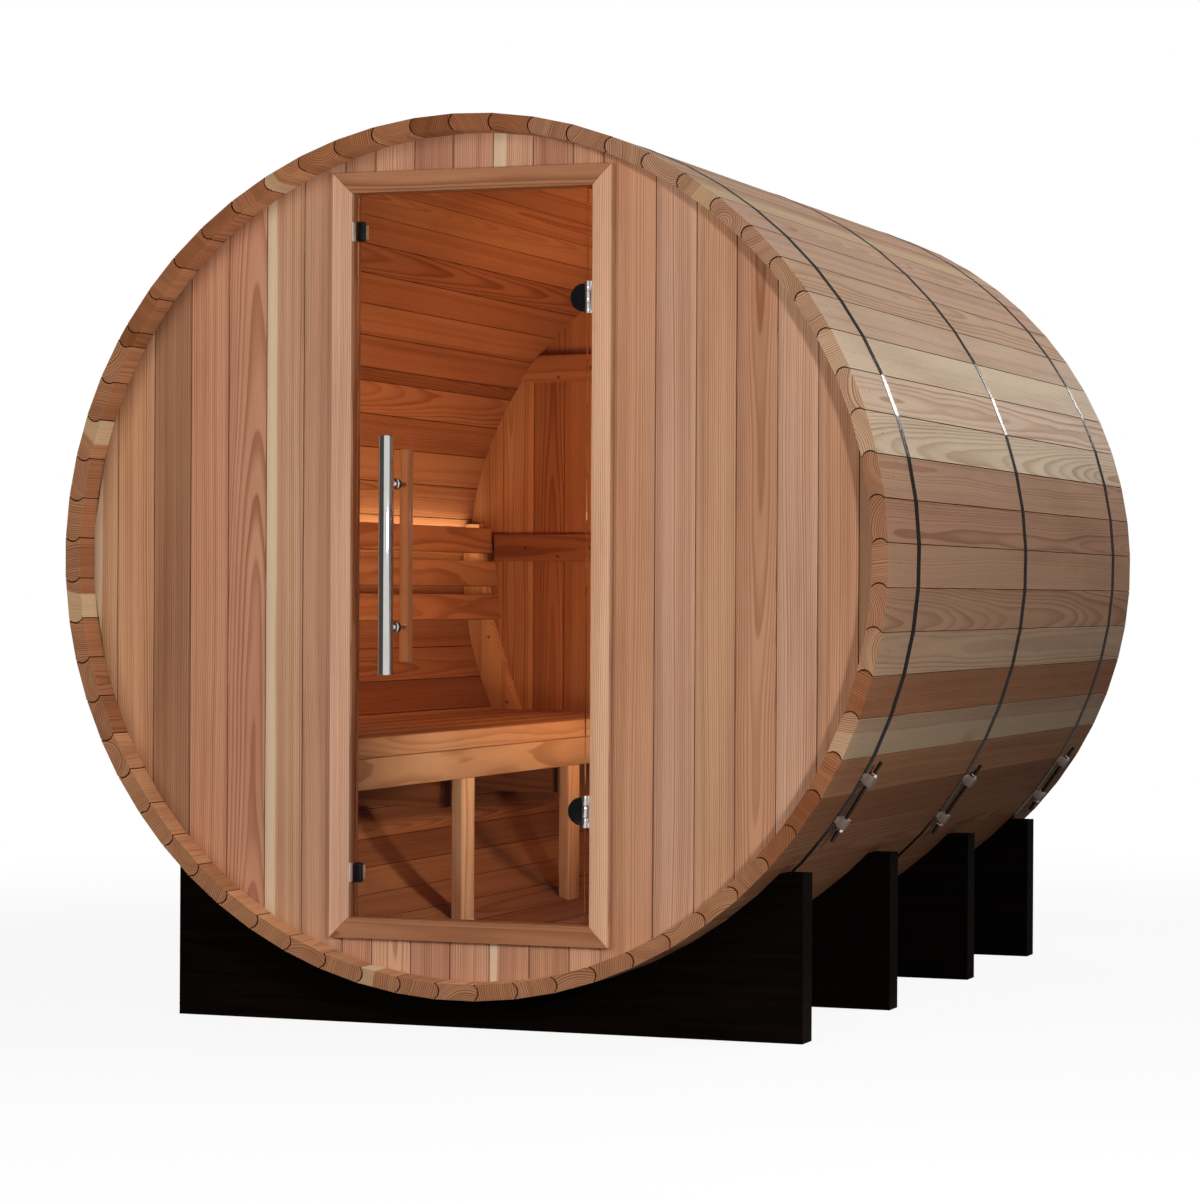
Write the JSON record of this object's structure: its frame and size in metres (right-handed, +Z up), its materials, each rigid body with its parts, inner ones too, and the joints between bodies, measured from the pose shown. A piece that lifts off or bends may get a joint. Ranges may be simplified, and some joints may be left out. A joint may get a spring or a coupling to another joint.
{
  "type": "barrel sauna",
  "caption": "Outdoor sauna shaped as a lying wooden barrel, with a glass door in the end wall, a bench with backrest inside, steel bands and black cradles.",
  "frame": {"origin": "on the ground, under the middle of the barrel", "axes": "+Y along the barrel, away from the door; +Z up; +X towards the door's hinge side"},
  "size_m": [1.8309, 2.304, 1.902],
  "materials": {
    "staves": "satin",
    "wall_boards": "satin",
    "joinery": "satin",
    "inner_wood": "satin",
    "glass": "clear, gloss",
    "chrome": "polished",
    "black_metal": "satin",
    "band_steel": "satin",
    "cradle_paint": "matt black stain",
    "light": "lit strip"
  },
  "bodies": {
    "barrel": {"stave_group_01": "staves", "stave_group_02": "staves", "stave_group_03": "staves", "stave_group_04": "staves", "stave_group_05": "staves", "stave_group_06": "staves", "stave_group_07": "staves", "stave_group_08": "staves", "stave_group_09": "staves", "stave_group_10": "staves", "stave_group_11": "staves", "stave_group_12": "staves", "stave_group_13": "staves", "stave_group_14": "staves", "stave_group_15": "staves", "stave_group_16": "staves", "closing_stave": "staves", "front_wall_left": "wall_boards", "front_wall_right": "wall_boards", "front_wall_over_door": "wall_boards", "front_wall_under_door": "wall_boards", "back_wall": "wall_boards", "back_wall_battens": "wall_boards", "door_jambs": "joinery", "door_head_and_sill": "joinery", "casing_sides": "joinery", "casing_top_and_bottom": "joinery", "hinge_leaves": "chrome", "catch_strikes": "chrome", "bench_planks": "inner_wood", "bench_apron": "inner_wood", "bench_legs": "inner_wood", "bench_joists": "inner_wood", "backrest_slats": "inner_wood", "backrest_supports": "inner_wood", "band_front": "band_steel", "band_middle": "band_steel", "band_back": "band_steel", "tensioner_front": "band_steel", "tensioner_middle": "band_steel", "tensioner_back": "band_steel", "cradle_1": "cradle_paint", "cradle_2": "cradle_paint", "cradle_3": "cradle_paint", "cradle_4": "cradle_paint", "light_strip": "light"},
    "door": {"door_glass": "glass", "hinge_clamps": "black_metal", "catch_blocks": "black_metal", "catch_backplates": "chrome", "outer_handle": "chrome", "inner_handle_bar": "inner_wood", "inner_handle_studs": "chrome"}
  },
  "joints": [
    {"name": "door_hinge", "type": "hinge", "parent": "barrel", "child": "door", "pos_m": [0.2595, -1.099, 0.9925], "axis": [0, 0, 1], "range_deg": [0, 110]}
  ]
}
